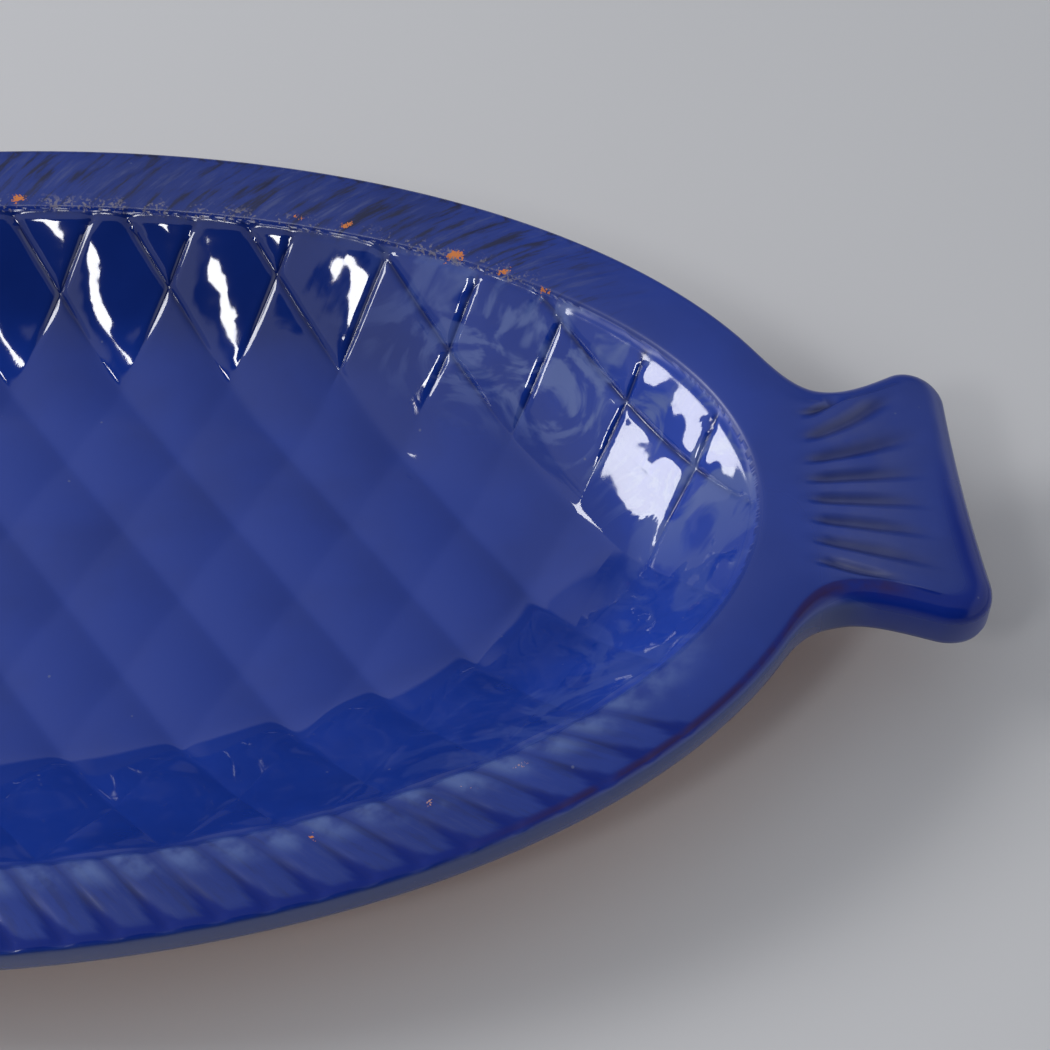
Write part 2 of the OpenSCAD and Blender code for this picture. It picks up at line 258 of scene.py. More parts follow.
# Foot ring
# A strip of the same clay, bent to an oval and luted on edge under the base with slip before firing.
# Its lower edge is rubbed smooth where it stands on the table.
foot_margin, foot_w, foot_r = 3.0, 7.0, 0.8
foot_a, foot_b = base_a - foot_margin, base_b - foot_margin
angles = np.arange(0, 360, 2.0)
profile = [(0, foot_h), (0, foot_r), (0.3 * foot_r, 0.3 * foot_r), (foot_r, 0), (foot_w - foot_r, 0),
           (foot_w - 0.3 * foot_r, 0.3 * foot_r), (foot_w, foot_r), (foot_w, foot_h)]
verts = np.concatenate([np.c_[oval(foot_a - d, foot_b - d, angles), np.full(len(angles), z)] for d, z in profile])
verts[:, 0] += oval_x
n = len(angles)
faces = []
for r in range(len(profile)):
    for j in range(n):
        a, b = r * n + j, r * n + (j + 1) % n
        c, d = (r + 1) % len(profile) * n + j, (r + 1) % len(profile) * n + (j + 1) % n
        faces.append((a, c, d, b))
mesh = bpy.data.meshes.new("foot")
mesh.from_pydata((verts * mm).tolist(), [], faces)
mesh.shade_smooth()
foot = bpy.data.objects.new("foot", mesh)
bpy.context.collection.objects.link(foot)
mesh.materials.append(fired("foot_clay", (0.27, 0.10, 0.045, 1), (0.46, 0.19, 0.09, 1), 0.7))
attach(foot, "root")
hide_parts("foot_ring")

# Glaze coat
# Cobalt glass fused over the inside and the rim. It runs off the edges, where it is thin, and pools in the grooves.
# The scales, fin flutes, tail rays, eye and mouth that the mould pressed into the clay show through it.
glaze_t, rim_crown = 0.6, 0.8
edge_r = 1.4 + 0.44 * (edge_t - rim_t)  # rounding of the outer edge, larger where the clay is thicker
half_l, half_w, slant = 12.25, 18.5, math.tan(math.radians(4))  # half a scale along and across, slant of its rows
start_x, start_y = -5.4, -6.0  # one crossing of the scale lines
soft_edge, soft_tail = 0.8, 0.2  # rounding of the dish's edge, and what it gains by the tail


def soften(p):
    return soft_edge + soft_tail * ease((p[..., 0] - 110.0) / 50.0)


# rows of the rim: in over the dish's edge, across the top, round the outer edge and in under it
in_rows = np.array([1.9, 1.55, 1.25, 1.0, 0.75, 0.5, 0.25])
top_rows = np.concatenate([[0, 0.014, 0.03, 0.048, 0.07], np.linspace(0.1, 1, 20)])
over = plan - edge_r[:, None] * outward
xy, z = [], []
for t in in_rows:
    xy.append(dish_edge - t * dish_out)
    z.append(np.full(stations, rim_z + glaze_t))
for f in top_rows:
    xy.append(dish_edge + (over - dish_edge) * f)
    z.append(np.full(stations, rim_z + glaze_t + rim_crown * 4 * f * (1 - f)))
rim_xy = np.stack(xy)
rim_zs = np.stack(z) - dish(rim_xy, soften(rim_xy))
edge_z = rim_zs[-1]
edge_xy, edge_zs = [], []
for a in np.radians([18, 36, 54, 72, 90]):
    edge_xy.append(over + ((edge_r + glaze_t) * np.sin(a))[:, None] * outward)
    edge_zs.append(edge_z - edge_r * (1 - np.cos(a)))
low_z = rim_z - edge_t - glaze_t
for a in np.radians([90, 65, 40, 15]):
    edge_xy.append(over + ((edge_r + glaze_t) * np.sin(a))[:, None] * outward)
    edge_zs.append(low_z + edge_r * (1 - np.cos(a)))
for tuck, lift in ((1.5, 0.05), (3.0, 0.7)):
    edge_xy.append(over - tuck * outward)
    edge_zs.append(low_z + lift)
ring_xy = np.concatenate([rim_xy, np.stack(edge_xy)])
ring_z = np.concatenate([rim_zs, np.stack(edge_zs)])
ring_rows, edge_rows = len(ring_xy), len(edge_xy)
# depth of the fins on each row, and how far out the row lies: 0 at the dish's edge, 1 at the top's outer edge
edge_fin = [0.8, 0.45, 0.15]
edge_out = [0.15, 0.3, 0.45, 0.6, 0.75, 1, 1.2, 1.4, 1.6, 1.8, 2.0]
row_fin = np.concatenate([
    0.25 * ease((3.0 - in_rows) / 3.0), 0.25 + 0.75 * ease((top_rows - 0.1) / 0.6),
    edge_fin, np.zeros(edge_rows - len(edge_fin))])
row_out = np.concatenate([0 * in_rows, top_rows, 1 + np.array(edge_out)])

# the dish's inside: squares between the scale lines, close together at the lines, and triangles out to the rim
steps = np.array([0, 0.012, 0.024, 0.036, 0.05, 0.066, 0.085, 0.11, 0.15, 0.21, 0.29, 0.39])
steps = np.concatenate([steps, [0.5], 1 - steps[:0:-1]])
span = 10
line = np.append((np.arange(-span, span)[:, None] + steps[None]).ravel(), span)
u, v = np.meshgrid(line, line, indexing="ij")
grid = np.stack([start_x + (u + v) * half_l - slant * (u - v) * half_w, start_y + (u - v) * half_w], -1)
inside = (edge_distance(grid) > 2.5) & ((grid[..., 0] / dish_a) ** 2 + (grid[..., 1] / dish_b) ** 2 < 1)
square = inside[:-1, :-1] & inside[1:, :-1] & inside[:-1, 1:] & inside[1:, 1:]
used = np.zeros_like(inside)
for i, j in ((0, 0), (1, 0), (0, 1), (1, 1)):
    used[i:len(line) - 1 + i, j:len(line) - 1 + j] |= square
base = stations * ring_rows
index = np.full(inside.shape, -1)
index[used] = base + np.arange(used.sum())
grid = grid[used]
faces = [(index[i, j], index[i, j + 1], index[i + 1, j + 1], index[i + 1, j]) for i, j in np.argwhere(square)]
sides = {}
for face in faces:
    for a, b in zip(face, face[1:] + face[:1]):
        sides[(min(a, b), max(a, b))] = sides.get((min(a, b), max(a, b)), 0) + 1
border = [pair for pair, count in sides.items() if count == 1]
brink = sorted({a for pair in border for a in pair})
spot_of = {a: stations + k for k, a in enumerate(brink)}
points = [Vector(p) for p in ring_xy[0]] + [Vector(grid[a - base]) for a in brink]
got = delaunay_2d_cdt(points, [(spot_of[a], spot_of[b]) for a, b in border], [list(range(stations))], 1, 1e-7)
number = list(range(stations)) + brink
number = [number[ids[0]] for ids in got[3]]
for face in got[2]:
    x, y = np.mean([got[0][i] for i in face], 0)
    d, e = (y - start_y) / half_w, (x - start_x + slant * (y - start_y)) / half_l
    i, j = np.searchsorted(line, [(e + d) / 2, (e - d) / 2]) - 1
    if not square[i, j]:
        faces.append(tuple(number[i] for i in face))
floor_z = rim_z + glaze_t - dish(grid, soften(grid))
# scales of the far wall's upper row that came out of the mould uneven: centre, tilt, swell, twist
for x, y, tilt_x, swell, twist in (
        (50.7, 65.0, 0.0, 0.12, 0.06), (26.2, 68.0, -0.07, 0.0, 0.0), (1.7, 68.0, -0.09, 0.0, 0.0)):
    dx, dy = grid[:, 0] - x, grid[:, 1] - y
    r = np.hypot(dx, dy)
    floor_z += tilt_x * dx * np.exp(-(r / 9.0) ** 2) + swell * np.exp(-0.5 * (r / 6.0) ** 2)
    floor_z += twist * (dx + dy) * np.exp(-0.5 * (r / 2.8) ** 2)
verts = np.concatenate([
    np.c_[ring_xy.reshape(-1, 2), ring_z.reshape(-1)],
    np.c_[grid, floor_z]])
for r in range(ring_rows - 1):
    for j in range(stations):
        a, b = r * stations + j, r * stations + (j + 1) % stations
        faces.append((a, a + stations, b + stations, b))

# what the relief reads at each point: how far along the fish, across it, and in from the dish's edge
fish_x, fish_y = verts[:, 0].copy(), verts[:, 1].copy()
dist = edge_distance(verts[:, :2])
in_dish = dist > 0
edge_from = base - edge_rows * stations
on_grid = np.zeros(len(grid))


def after(v, start, over):
    return ease((v - start) / over)


def before(v, end, over):
    return ease((end - v) / over)


# scales: none on the cheek before the gill line, faint on the near side, which has more glaze
gill_x, gill_r = 78.0 - body_a, 90.0
gill = gill_x - gill_r + np.sqrt(np.maximum(0, gill_r ** 2 - fish_y ** 2))
wallness = before(dist / wall_reach, 0.59, 0.31)
scaled = after(fish_x, gill, 2 * half_l) * after(dist, -0.2, 1.6)
scaled[edge_from:base] = 0
near_side = before(fish_y, 15.0, 30.0)
mask_swell = scaled * before(dist, 36.0, 22.0) * (1 - 0.5 * after(fish_x, 70.0, 40.0)) * (1 - 0.5 * near_side)
mask_cut = scaled * wallness * (1 - 0.85 * near_side)
mask_floor = scaled * (1 - 0.6 * wallness)
on_rim = before(dist, 2.0, 4.0)
# each scale is tilted a little, as cut by hand in the mould
over_y = (fish_y - start_y) / half_w
over_x = (fish_x - start_x + slant * (fish_y - start_y)) / half_l
phase_u, phase_v = (over_x + over_y) / 2, (over_x - over_y) / 2
cell_u, cell_v = np.floor(phase_u), np.floor(phase_v)
tilt_u = np.sin(cell_u * 12.9898 + cell_v * 78.233) * 43.7585
tilt_v = np.sin(cell_u * 39.346 + cell_v * 11.135) * 57.583
tilt = (tilt_u % 1 - 0.5) * (phase_u % 1 - 0.5) + (tilt_v % 1 - 0.5) * (phase_v % 1 - 0.5)
# fins: full on the near side, half as deep on the far side and gone at its outer edge
phase_fin = np.concatenate([np.tile(fin_phase, ring_rows), on_grid])
finned = np.concatenate([np.tile(fin_mask, ring_rows), on_grid])
row_far = np.concatenate([np.ones(len(in_rows)), before(top_rows, 1.0, 0.3), np.zeros(edge_rows)])
side_fin = np.where(plan[:, 1] > 0, 0.5 * row_far[:, None], 1.0)
mask_fin = np.concatenate([(row_fin[:, None] * fin_mask * side_fin).ravel(), on_grid])
# rays: y0 is where the ray through a point starts at the tail's root, and one side's rays curl outwards
root_x, ray_l, third_y, wide_step, close_step = 176.0, 24.0, 7.4, 6.0, 5.1
reach = np.maximum(0.02, (fish_x - root_x) / ray_l)
open_up, curl = 1 + 0.5 * reach, 0.06 * reach ** 2
y0 = fish_y / open_up
high = y0 > 0
y0[high] = ((np.sqrt(open_up ** 2 + 4 * curl * np.abs(fish_y)) - open_up) / (2 * curl))[high]
phase_ray = 2 + (third_y - y0) / np.where(y0 > third_y, wide_step, close_step)
mask_ray = after(fish_x, 172.5, 6.0) * before(fish_x, 205.0, 20.0)
mask_ray *= np.where(phase_ray < 0.5, before(fish_x, 192.0, 12.0), 1.0)
mask_ray *= after(phase_ray, -0.2, 0.2) * before(phase_ray, 7.9, 0.6) * before(np.abs(fish_y), 26.0, 5.0)
mask_ray[edge_from:] = 0
verts[:, 0] += oval_x
mesh = bpy.data.meshes.new("glaze_skin")
mesh.from_pydata((verts * mm).tolist(), [], faces)

# what the finish reads: how far out over the edge and along it, where the glaze is chipped, thin or worn, and where
# light and shade are painted on it
along = verts[:, 0]
outer = np.concatenate([np.repeat(row_out, stations), on_grid])
length = np.concatenate([[0], np.cumsum(np.linalg.norm(np.diff(plan, axis=0), axis=1))])
turn = np.concatenate([np.tile(length, ring_rows), on_grid])
chips = np.array([
    (95.9, 65.4, 0.9), (106.8, 60.5, 0.7), (115.4, 55.1, 0.3), (-1.6, 84.6, 0.6), (61.6, 77.2, 0.3), (71.7, 74.6, 0.2),
    (68.0, -78.2, 0.1), (90.0, -71.6, 0.2), (97.0, -68.6, 0.0), (107.5, -64.0, 0.0)])
chip = np.min([np.hypot((along - x) / 1.35, (fish_y - y) * 1.2) - r for x, y, r in chips], 0)
chip[edge_from:base] = 9
# tone of the glaze: painted shade darkens the far wall, painted light brightens the wall by the tail; a little darker
# on the tail, and on the rim darker towards the head and a little lighter towards the tail
tone_and_painted_shading = 1 - 0.36 * wallness * after(fish_y, 0.0, 30.0) * before(along, 100.0, 40.0) * in_dish
tone_and_painted_shading *= 1 + 0.42 * wallness * after(along, 100.0, 40.0) * in_dish
tone_and_painted_shading *= 1 - 0.14 * after(along, 172.0, 12.0)
tone_and_painted_shading *= 1 - 0.2 * on_rim * (1 - 1.4 * after(along, 85.0, 50.0)) * (1 - 0.6 * near_side)
thin = after(outer, 0.95, 0.08) * before(outer, 1.4, 0.3) * after(along, 90.0, 35.0) * near_side
thin *= 1 - after(along, 178.0, 10.0)
on_tail = after(along, 172.0, 8.0)
notched = before(np.abs(phase_fin - np.round(phase_fin)), 0.3, 0.3) * finned
# painted reflection of the dark room on the rounded near edge and on the tail's near edge, drawn in further where the
# fin grooves run out
painted_dark_edge = after(outer, 0.93 - 0.48 * notched, 0.08 + 0.25 * notched)
painted_dark_edge *= before(outer, 1.5 + 0.35 * on_tail, 0.25) * near_side
# painted reflection of the pale table on the near side's outer face below the edge, not on the tail
side = after(outer, 1.4, 0.15) * near_side * (1 - on_tail)
# painted highlight on the inner ends of the near fins, where their bumps catch the light
painted_lit_end = near_side * after(dist, -8.0, 5.0) * before(dist, 0.8, 1.6) * before(along, 150.0, 20.0) * (outer < 1)
painted_lit_end *= ease(1.3 - np.abs(2 * (phase_fin % 1) - 1) * 1.3)
frayed = after(fish_y, -30.0, 40.0) * after(dist, -8.0, 4.0) * before(along, 120.0, 15.0)
dusty = on_rim * (1 - 0.7 * near_side * before(along, 178.0, 20.0))
# where the glaze by the tail is wavy, and where the painted reflection of the hazy room lies on the wall
wavy = wallness * after(along, 60.0, 60.0) * in_dish * (1 - 0.7 * near_side)
uneven = 1 + 4 * wallness * (1 - 0.8 * near_side) * in_dish + 7 * wavy
uneven += 14 * wallness * near_side * after(along, 90.0, 25.0) * in_dish
lip_dull = np.exp(-(dist / 1.6) ** 2) * np.maximum(near_side, after(along, 100.0, 30.0)) * (outer < 1)
streaky = dusty * before(along, 140.0, 28.0)
root_pale = after(along, 164.0, 10.0) * before(along, 196.0, 18.0) * before(np.abs(fish_y), 27.0, 9.0) * (outer < 1)
for name, values in (
        ("scale_u", phase_u), ("scale_v", phase_v), ("swell_mask", mask_swell), ("cut_mask", mask_cut),
        ("floor_mask", mask_floor), ("tilt", tilt), ("fin_phase", phase_fin), ("fin_mask", mask_fin),
        ("ray_phase", phase_ray), ("ray_mask", mask_ray), ("on_rim", on_rim), ("way_in", np.clip(dist, -20, 20)),
        ("outer", outer), ("turn", turn), ("chip", np.clip(chip, -5, 9)), ("tone_and_painted_shading", tone_and_painted_shading), ("thin", thin),
        ("painted_dark_edge", painted_dark_edge), ("side", side), ("painted_lit_end", painted_lit_end), ("frayed", frayed), ("dusty", dusty),
        ("wavy", wavy), ("uneven", uneven), ("lip_dull", lip_dull), ("streaky", streaky), ("root_pale", root_pale)):
    mesh.attributes.new(name, "FLOAT", "POINT").data.foreach_set("value", values.astype(np.float32))

# a finer mesh on the snout, where the eye's ring and the mouth are cut
cheek_x, cheek_w, groove_w = -166.0, 17.0, 1.5
eye_x, eye_y, eye_r = -179.5, 5.0, 5.0
mouth_from, mouth_run = np.array([-197.0, -3.0]), np.array([17.5, -7.0])
fine = bmesh.new()
fine.from_mesh(mesh)
on_snout = set()
for face in fine.faces:
    x, y, z = np.array(face.calc_center_median()) / mm
    if x < oval_x + cheek_x and abs(y) < cheek_w and z > rim_z:
        on_snout.update(face.edges)
bmesh.ops.subdivide_edges(fine, edges=list(on_snout), cuts=3, use_grid_fill=True)
fine.to_mesh(mesh)
fine.free()
spots = np.empty(len(mesh.vertices) * 3, np.float32)
mesh.vertices.foreach_get("co", spots)
x, y, z = spots.reshape(-1, 3).T / mm
x = x - oval_x
eye = np.abs(np.hypot(x - eye_x, y - eye_y) - eye_r)
from_x, from_y = x - mouth_from[0], y - mouth_from[1]
t = np.clip((from_x * mouth_run[0] + from_y * mouth_run[1]) / (mouth_run @ mouth_run), 0, 1)
mouth = np.hypot(from_x - t * mouth_run[0], from_y - t * mouth_run[1])
head = np.maximum(ease(1 - eye / groove_w), ease(1 - mouth / groove_w) * before(t, 1.05, 0.2)) * after(z, rim_z, 0.5)
mesh.attributes.new("head_mask", "FLOAT", "POINT").data.foreach_set("value", head.astype(np.float32))
mesh.shade_smooth()
skin = bpy.data.objects.new("glaze_skin", mesh)
bpy.context.collection.objects.link(skin)

# the relief: grooves between scales with a swell on each, flutes along the fins, rays on the tail, eye and mouth
tree = bpy.data.node_groups.new("pressed_relief", "GeometryNodeTree")
tree.interface.new_socket("Geometry", in_out="INPUT", socket_type="NodeSocketGeometry")
settings = (
    ("Scale groove", 0.65 * mm), ("Scale groove width", 0.08), ("Scale swell", 0.12 * mm), ("Scale tilt", 1.0 * mm),
    ("Floor swell one way", 1.75 * mm), ("Floor swell other way", 0.5 * mm),
    ("Fin groove", 0.5 * mm), ("Fin groove width", 0.17), ("Fin swell", 0.3 * mm),
    ("Ray groove", 1.4 * mm), ("Ray groove width", 0.40), ("Head groove", 1.1 * mm))
for name, value in settings:
    tree.interface.new_socket(name, in_out="INPUT", socket_type="NodeSocketFloat").default_value = value
tree.interface.new_socket("Material", in_out="INPUT", socket_type="NodeSocketMaterial")
tree.interface.new_socket("Geometry", in_out="OUTPUT", socket_type="NodeSocketGeometry")
gin = tree.nodes.new("NodeGroupInput")
gout = tree.nodes.new("NodeGroupOutput")


def field(name):
    node = tree.nodes.new("GeometryNodeInputNamedAttribute")
    node.data_type = "FLOAT"
    node.inputs["Name"].default_value = name
    return node.outputs["Attribute"]


def calc(operation, a, b=None):
    node = tree.nodes.new("ShaderNodeMath")
    node.operation = operation
    for socket, value in zip(node.inputs, (a, b)):
        if value is None:
            continue
        if isinstance(value, (int, float)):
            socket.default_value = value
        else:
            tree.links.new(value, socket)
    return node.outputs[0]


def to_line(phase):
    return calc("ABSOLUTE", calc("SUBTRACT", phase, calc("ROUND", phase)))


def notch(distance, width):
    node = tree.nodes.new("ShaderNodeMapRange")
    node.interpolation_type = "SMOOTHSTEP"
    tree.links.new(distance, node.inputs["Value"])
    tree.links.new(width, node.inputs["From Max"])
    node.inputs["To Min"].default_value = 1.0
    node.inputs["To Max"].default_value = 0.0
    return node.outputs["Result"]


du, dv = to_line(field("scale_u")), to_line(field("scale_v"))
near = tree.nodes.new("ShaderNodeMath")
near.operation = "SMOOTH_MIN"
near.inputs[2].default_value = 0.06
tree.links.new(du, near.inputs[0])
tree.links.new(dv, near.inputs[1])
near = calc("MAXIMUM", near.outputs[0], 0.0)
scale_cut = calc("SUBTRACT", 1.0, calc("MINIMUM", 1.0, calc("DIVIDE", near, gin.outputs["Scale groove width"])))
scale_cut = calc("MULTIPLY", calc("POWER", scale_cut, 2.0), field("cut_mask"))


def hump(distance):
    slope = calc("SUBTRACT", 1.0, calc("MULTIPLY", distance, 2.0))
    return calc("SUBTRACT", 1.0, calc("POWER", slope, 2.0))


def rounded(distance):
    return calc("SQRT", calc("ADD", calc("MULTIPLY", distance, distance), 0.0025))


floor_rise = calc("ADD", calc("MULTIPLY", hump(rounded(du)), gin.outputs["Floor swell one way"]),
                  calc("MULTIPLY", hump(rounded(dv)), gin.outputs["Floor swell other way"]))
floor_rise = calc("MULTIPLY", floor_rise, field("floor_mask"))
scale_h = calc("ADD", gin.outputs["Scale swell"], calc("MULTIPLY", field("tilt"), gin.outputs["Scale tilt"]))
scale_rise = calc("MULTIPLY", calc("MULTIPLY", hump(near), field("swell_mask")), scale_h)
fin_line = to_line(field("fin_phase"))
fin_cut = calc("MULTIPLY", notch(fin_line, gin.outputs["Fin groove width"]), field("fin_mask"))
fin_h = calc("MULTIPLY", gin.outputs["Fin swell"], field("fin_mask"))
fin_fall = calc("MULTIPLY", calc("SUBTRACT", hump(fin_line), 1.0), fin_h)
ray_cut = calc("MULTIPLY", notch(to_line(field("ray_phase")), gin.outputs["Ray groove width"]), field("ray_mask"))
head_cut = field("head_mask")
rise = calc("ADD", calc("ADD", floor_rise, scale_rise), fin_fall)
pools = None
for cut, depth in (
        (scale_cut, "Scale groove"), (fin_cut, "Fin groove"), (ray_cut, "Ray groove"), (head_cut, "Head groove")):
    rise = calc("SUBTRACT", rise, calc("MULTIPLY", cut, gin.outputs[depth]))
    pools = calc("ADD", pools, cut) if pools else cut
normal = tree.nodes.new("GeometryNodeInputNormal")
push = tree.nodes.new("ShaderNodeVectorMath")
push.operation = "SCALE"
tree.links.new(normal.outputs[0], push.inputs[0])
tree.links.new(rise, push.inputs["Scale"])
keep = tree.nodes.new("GeometryNodeStoreNamedAttribute")
keep.data_type = "FLOAT"
keep.domain = "POINT"
keep.inputs["Name"].default_value = "hollow"
tree.links.new(gin.outputs["Geometry"], keep.inputs["Geometry"])
tree.links.new(pools, keep.inputs["Value"])
move = tree.nodes.new("GeometryNodeSetPosition")
tree.links.new(keep.outputs["Geometry"], move.inputs["Geometry"])
tree.links.new(push.outputs["Vector"], move.inputs["Offset"])
real = tree.nodes.new("GeometryNodeRealizeInstances")
tree.links.new(move.outputs["Geometry"], real.inputs["Geometry"])
paint = tree.nodes.new("GeometryNodeSetMaterial")
tree.links.new(real.outputs["Geometry"], paint.inputs["Geometry"])
tree.links.new(gin.outputs["Material"], paint.inputs["Material"])
tree.links.new(paint.outputs["Geometry"], gout.inputs["Geometry"])

glaze_mat = bpy.data.materials.new("cobalt_glaze")
glaze_mat.use_nodes = True
nt = glaze_mat.node_tree
bsdf = nt.nodes["Principled BSDF"]
coord = nt.nodes.new("ShaderNodeTexCoord")


def feed(node, **sockets):
    for name, value in sockets.items():
        socket = node.inputs[name.replace("_", " ")]
        if isinstance(value, bpy.types.NodeSocket):
            nt.links.new(value, socket)
        else:
            socket.default_value = value
    return node


def read(name):
    node = nt.nodes.new("ShaderNodeAttribute")
    node.attribute_name = name
    return node.outputs["Fac"]


def noise(vector, scale, detail=2.0, roughness=0.5):
    node = nt.nodes.new("ShaderNodeTexNoise")
    return feed(node, Vector=vector, Scale=scale, Detail=detail, Roughness=roughness).outputs["Fac"]


def span_of(value, low, high, to_low=0.0, to_high=1.0):
    node = nt.nodes.new("ShaderNodeMapRange")
    node.interpolation_type = "SMOOTHSTEP"
    return feed(node, Value=value, From_Min=low, From_Max=high, To_Min=to_low, To_Max=to_high).outputs["Result"]


def sums(operation, a, b):
    node = nt.nodes.new("ShaderNodeMath")
    node.operation = operation
    for socket, value in zip(node.inputs, (a, b)):
        if isinstance(value, bpy.types.NodeSocket):
            nt.links.new(value, socket)
        else:
            socket.default_value = value
    return node.outputs[0]


def blend(a, b, factor, mode="MIX"):
    node = nt.nodes.new("ShaderNodeMix")
    node.data_type = "RGBA"
    node.blend_type = mode
    return feed(node, A=a, B=b, Factor=factor).outputs["Result"]


# cobalt, deeper where it pools in the grooves, with painted shade on the far wall and painted light on the wall by the
# tail
here = coord.outputs["Object"]
colour = blend((0.0048, 0.027, 0.225, 1), (0.0066, 0.033, 0.265, 1), span_of(noise(here, 35.0, 4.0), 0.35, 0.65))
colour = blend(colour, read("tone_and_painted_shading"), 1.0, "MULTIPLY")
colour = blend(colour, (0.0028, 0.010, 0.095, 1), sums("MULTIPLY", span_of(read("hollow"), 0.1, 1.0), 0.8))
# streaks along the fins
flow = nt.nodes.new("ShaderNodeCombineXYZ")
feed(flow, X=sums("MULTIPLY", read("turn"), 0.34), Y=sums("MULTIPLY", read("outer"), 1.1))
streak = noise(flow.outputs["Vector"], 1.0, 5.0, 0.65)
streaky = read("streaky")
pale = sums("MULTIPLY", span_of(streak, 0.52, 0.72), streaky)
colour = blend(colour, (0.060, 0.080, 0.23, 1), sums("MULTIPLY", pale, 0.7))
dark = sums("MULTIPLY", span_of(streak, 0.51, 0.36), streaky)
colour = blend(colour, (0.006, 0.007, 0.030, 1), sums("MULTIPLY", dark, 0.85))
# painted highlight on the inner ends of the near fins, painted reflection of the dark room along the near outer edge,
# painted reflection of the pale table on the side below
painted_lit = sums("MULTIPLY", read("painted_lit_end"), span_of(noise(here, 160.0, 3.0), 0.30, 0.64))
colour = blend(colour, (0.11, 0.175, 0.42, 1), sums("MULTIPLY", painted_lit, 0.62))
colour = blend(colour, (0.0038, 0.017, 0.19, 1), sums("MULTIPLY", read("painted_dark_edge"), 0.9))
colour = blend(colour, (0.020, 0.042, 0.16, 1), sums("MULTIPLY", read("side"), 0.8))
# painted reflection of the hazy room, in swirls, on the wall by the tail
swirl = nt.nodes.new("ShaderNodeTexNoise")
feed(swirl, Vector=here, Scale=55.0, Detail=3.0, Distortion=2.5)
painted_haze = sums("MULTIPLY", span_of(swirl.outputs["Fac"], 0.45, 0.61), read("wavy"))
colour = blend(colour, (0.095, 0.140, 0.37, 1), sums("MULTIPLY", painted_haze, 0.95))
# rubbed pale at the tail's root
rubbed = sums("MULTIPLY", read("root_pale"), span_of(noise(here, 90.0, 4.0), 0.25, 0.7))
colour = blend(colour, (0.085, 0.10, 0.22, 1), sums("MULTIPLY", rubbed, 0.32))
# specks of dust lying in the dish
motes = nt.nodes.new("ShaderNodeTexVoronoi")
feed(motes, Vector=here, Scale=170.0)
few = nt.nodes.new("ShaderNodeSeparateColor")
feed(few, Color=motes.outputs["Color"])
dust = sums("MULTIPLY", span_of(motes.outputs["Distance"], 0.07, 0.03), span_of(few.outputs["Red"], 0.72, 0.76))
colour = blend(colour, (0.13, 0.15, 0.27, 1), sums("MULTIPLY", dust, 0.55))
# worn to a sandy pallor along the dish's edge
fleck = noise(here, 1400.0, 2.0)
worn = sums("MULTIPLY", span_of(read("way_in"), -4.2, -0.6), span_of(read("way_in"), 0.5, 0.0))
worn = sums("MULTIPLY", worn, read("frayed"))
worn = sums("MULTIPLY", worn, span_of(sums("ADD", fleck, sums("MULTIPLY", noise(here, 160.0, 3.0), 0.8)), 0.98, 1.12))
colour = blend(colour, (0.22, 0.20, 0.24, 1), sums("MULTIPLY", worn, 0.75))
# thin and reddish on the outer edge
red = sums("MULTIPLY", read("thin"), span_of(noise(here, 120.0, 4.0), 0.30, 0.55))
colour = blend(colour, (0.036, 0.011, 0.017, 1), sums("MULTIPLY", red, 0.7))
# chips down to the clay
ragged = sums("ADD", noise(here, 600.0, 2.0), sums("MULTIPLY", noise(here, 2200.0, 2.0), 0.9))
chipped = span_of(sums("ADD", read("chip"), sums("MULTIPLY", sums("SUBTRACT", ragged, 0.95), 4.5)), 0.2, -0.2)
# chips on the near fins' inner ends take a paler clay colour under the same painted highlight
colour = blend(colour, blend((0.62, 0.19, 0.045, 1), (0.42, 0.26, 0.26, 1), read("painted_lit_end")), chipped)
# glassy inside, duller with dust on the rim, on worn places and along the lip
# the glaze reflects less under the painted dark edge
shine = sums("SUBTRACT", 0.5, sums("MULTIPLY", read("painted_dark_edge"), 0.3))
feed(bsdf, Base_Color=colour, IOR=1.58, Specular_IOR_Level=shine)
gloss = sums("MAXIMUM", span_of(read("dusty"), 0.0, 1.0, 0.05, 0.36), sums("MULTIPLY", read("on_rim"), 0.24))
gloss = sums("MULTIPLY", gloss, sums("SUBTRACT", 1.0, sums("MULTIPLY", read("painted_dark_edge"), 0.6)))
gloss = sums("MAXIMUM", gloss, sums("MULTIPLY", sums("MAXIMUM", chipped, worn), 0.8))
gloss = sums("MAXIMUM", gloss, sums("MULTIPLY", read("lip_dull"), 0.45))
feed(bsdf, Roughness=gloss)
# the glaze's own waves, and the bottoms of the chips
bump = nt.nodes.new("ShaderNodeBump")
ripple = sums("MULTIPLY", noise(here, 75.0, 1.5), read("uneven"))
ripple = sums("ADD", ripple, sums("MULTIPLY", noise(here, 36.0, 0.5), sums("MULTIPLY", read("wavy"), 45.0)))
height = sums("ADD", ripple, sums("MULTIPLY", chipped, -0.6))
feed(bump, Strength=0.2, Distance=0.0005, Height=height)
feed(bsdf, Normal=bump.outputs["Normal"])

mod = skin.modifiers.new("relief", "NODES")
mod.node_group = tree
names = {item.name: item.identifier for item in tree.interface.items_tree if item.in_out == "INPUT"}
for name, value in settings:
    mod[names[name]] = value
mod[names["Material"]] = glaze_mat
deps = bpy.context.evaluated_depsgraph_get()
pressed = bpy.data.meshes.new_from_object(skin.evaluated_get(deps))
skin.modifiers.clear()
skin.data = pressed
pressed.name = "glaze_skin"
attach(skin, "root")
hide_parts("glaze_coat")

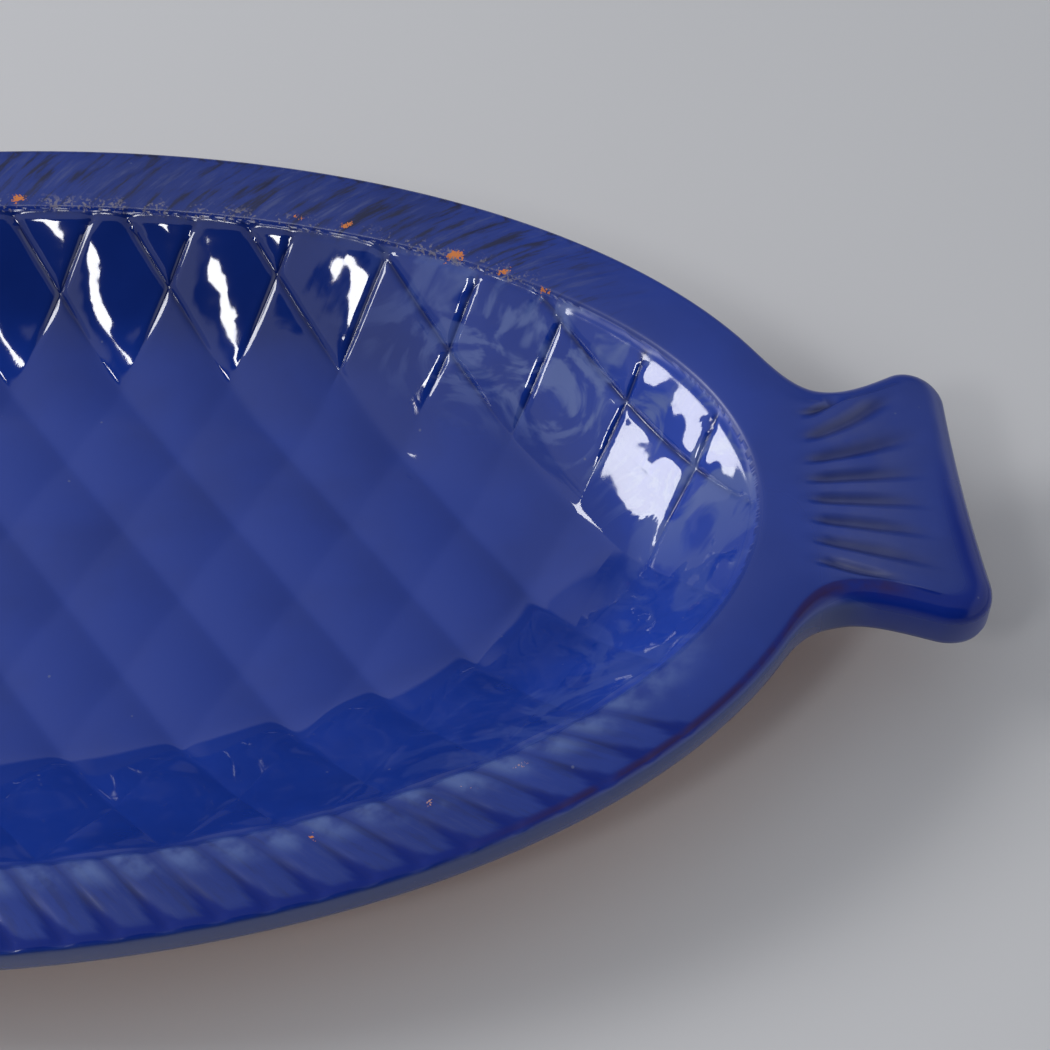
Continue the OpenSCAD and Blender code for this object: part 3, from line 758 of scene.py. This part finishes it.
# Stage
# A plain pale table under soft studio light: a window at the back left, a small lamp in front on the left,
# and a pale ceiling that is brightest over the far side.
mesh = bpy.data.meshes.new("table")
mesh.from_pydata([(-4, -4, 0), (4, -4, 0), (4, 4, 0), (-4, 4, 0)], [], [(0, 1, 2, 3)])
table = bpy.data.objects.new("table", mesh)
bpy.context.collection.objects.link(table)
table_mat = bpy.data.materials.new("pale_table")
table_mat.use_nodes = True
nt = table_mat.node_tree
bsdf = nt.nodes["Principled BSDF"]
coord = nt.nodes.new("ShaderNodeTexCoord")
cloud = nt.nodes.new("ShaderNodeTexNoise")
cloud.inputs["Scale"].default_value = 3
nt.links.new(coord.outputs["Object"], cloud.inputs["Vector"])
ramp = nt.nodes.new("ShaderNodeValToRGB")
ramp.color_ramp.elements[0].color = (0.58, 0.58, 0.60, 1)
ramp.color_ramp.elements[1].color = (0.64, 0.64, 0.65, 1)
nt.links.new(cloud.outputs["Fac"], ramp.inputs["Fac"])
nt.links.new(ramp.outputs["Color"], bsdf.inputs["Base Color"])
bsdf.inputs["Roughness"].default_value = 0.5
mesh.materials.append(table_mat)

for name, place, aim, size, power in (
        ("window_left", (-1.082, 0.143, 0.885), (0.14, 0.015, 0.025), (0.50, 0.52), 9.5),
        ("lamp_front", (-0.424, -0.745, 1.067), (0.044, 0.066, 0.027), (0.16, 0.19), 1.95)):
    light = bpy.data.lights.new(name, "AREA")
    light.shape = "RECTANGLE"
    light.size, light.size_y = size
    light.energy = power
    lamp = bpy.data.objects.new(name, light)
    lamp.location = place
    lamp.rotation_euler = (Vector(aim) - Vector(place)).to_track_quat("-Z", "Y").to_euler()
    bpy.context.collection.objects.link(lamp)
world = bpy.data.worlds.new("room")
world.use_nodes = True
nt = world.node_tree
back = nt.nodes["Background"]
coord = nt.nodes.new("ShaderNodeTexCoord")
parts = nt.nodes.new("ShaderNodeSeparateXYZ")
nt.links.new(coord.outputs["Generated"], parts.inputs["Vector"])
toward = nt.nodes.new("ShaderNodeVectorMath")
toward.operation = "DOT_PRODUCT"
toward.inputs[1].default_value = (-0.0286, -0.8187, 0.5736)
nt.links.new(coord.outputs["Generated"], toward.inputs[0])
# bright over the far side, on the left and on the right, dim near the floor, dark on the camera's side
overhead = span_of(parts.outputs["Z"], 0.40, 0.50, 0.10, 0.50)
overhead = sums("MULTIPLY", overhead, sums("SUBTRACT", 0.93, sums("MULTIPLY", parts.outputs["X"], 0.7)))
leftward = span_of(parts.outputs["X"], -0.30, -0.65, 0.0, 0.42)
rightward = span_of(parts.outputs["X"], 0.35, 0.65, 0.0, 0.9)
room = sums("MAXIMUM", sums("MAXIMUM", overhead, leftward), rightward)
behind = span_of(toward.outputs["Value"], 0.845, 0.87, 1.0, 0.06)
room = sums("MULTIPLY", room, behind)
# the camera itself sees a pale backdrop
path = nt.nodes.new("ShaderNodeLightPath")
room = sums("ADD", sums("MULTIPLY", room, sums("SUBTRACT", 1.0, path.outputs["Is Camera Ray"])),
            sums("MULTIPLY", path.outputs["Is Camera Ray"], 0.8))
back.inputs["Color"].default_value = (0.92, 0.95, 1.0, 1)
nt.links.new(room, back.inputs["Strength"])
scene = bpy.context.scene
scene.world = world
scene.view_settings.view_transform = "Standard"

# the photograph's viewing angle
cam = bpy.data.cameras.new("camera")
sensor_w, focal_px, picture_px = 36, 2400, 1050
cam.sensor_width = sensor_w
cam.lens = sensor_w * focal_px / picture_px
cam.clip_start = 0.01
camera = bpy.data.objects.new("camera", cam)
camera.location = (0.10253, -0.29001, 0.43297)
camera.rotation_euler = (math.radians(35.6), 0, math.radians(-1.41))
bpy.context.collection.objects.link(camera)
scene.camera = camera
